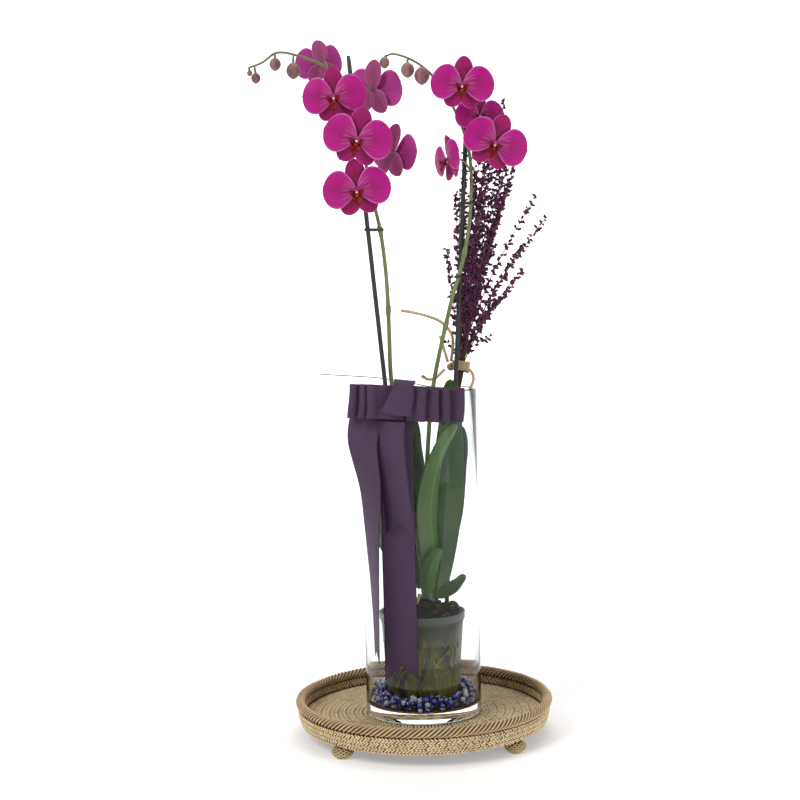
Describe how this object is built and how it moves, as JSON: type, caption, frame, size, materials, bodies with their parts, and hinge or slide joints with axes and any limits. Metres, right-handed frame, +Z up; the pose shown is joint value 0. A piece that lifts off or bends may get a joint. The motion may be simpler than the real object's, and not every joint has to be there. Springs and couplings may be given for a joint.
{
  "type": "potted orchid",
  "caption": "Moth orchid with flower spikes on stakes, in a nursery pot inside a tall glass cylinder vase with beads, a ribbon bow and a dried bundle, on a round wicker tray.",
  "frame": {"origin": "on the standing surface under the middle of the object's box, with the twine ends and the wire left out", "axes": "+Z up, the ribbon bow and the open flowers face -Y, +X towards the dried bundle"},
  "size_m": [0.3814, 0.3344, 0.8977],
  "materials": {
    "rattan": "woven rattan, satin",
    "vase_glass": "clear polished glass",
    "bead_glass": "glossy cobalt blue and clear beads",
    "pot_plastic": "thin translucent nursery plastic",
    "bark": "rough chunks",
    "root_skin": "dry and wrinkled",
    "leaf_green": "waxy leaf",
    "stem_green": "smooth plant stem",
    "petal": "velvety magenta petal",
    "lip_red": "waxy dark red with orange marks",
    "stake_coat": "dark green-grey plastic coat",
    "clip_plastic": "moulded dark plastic",
    "dried_flower": "dry dyed flower heads",
    "jute": "twisted jute",
    "grosgrain": "ribbed matt ribbon",
    "florist_wire": "bright thin wire"
  },
  "bodies": {
    "root": {"ball_foot_1": "rattan", "ball_foot_2": "rattan", "ball_foot_3": "rattan", "ball_foot_4": "rattan", "tray_basket": "rattan", "tray_rim": "rattan", "glass_vase": "vase_glass", "bead_bed": "bead_glass", "nursery_pot": "pot_plastic", "stake_left": "stake_coat", "stake_right": "stake_coat", "plant_crown": "stem_green", "bark_mix": "bark", "root_dark": "root_skin", "root_pale": "root_skin", "leaf_front": "leaf_green", "leaf_right": "leaf_green", "leaf_tall": "leaf_green", "leaf_left": "leaf_green", "leaf_low": "leaf_green", "leaf_inner": "leaf_green", "leaf_back": "leaf_green", "flower_left_1": "petal", "lip_left_1": "lip_red", "flower_left_2": "petal", "lip_left_2": "lip_red", "flower_left_3": "petal", "lip_left_3": "lip_red", "flower_left_4": "petal", "lip_left_4": "lip_red", "flower_left_5": "petal", "lip_left_5": "lip_red", "flower_left_6": "petal", "lip_left_6": "lip_red", "flower_right_1": "petal", "lip_right_1": "lip_red", "flower_right_2": "petal", "lip_right_2": "lip_red", "flower_right_3": "petal", "lip_right_3": "lip_red", "flower_right_4": "petal", "lip_right_4": "lip_red", "spike_left": "stem_green", "spike_right": "stem_green", "clip_left": "clip_plastic", "clip_right_low": "clip_plastic", "clip_right_high": "clip_plastic", "dried_bundle": "dried_flower", "twine_wrap": "jute", "twine_long_end": "jute", "twine_strand": "jute", "twine_short_end": "jute", "twine_loop": "jute", "bow_knot": "grosgrain", "bow_loops_left": "grosgrain", "bow_loops_right": "grosgrain", "tail_long": "grosgrain", "tail_front": "grosgrain", "tail_left": "grosgrain", "bow_wire": "florist_wire"}
  },
  "joints": []
}
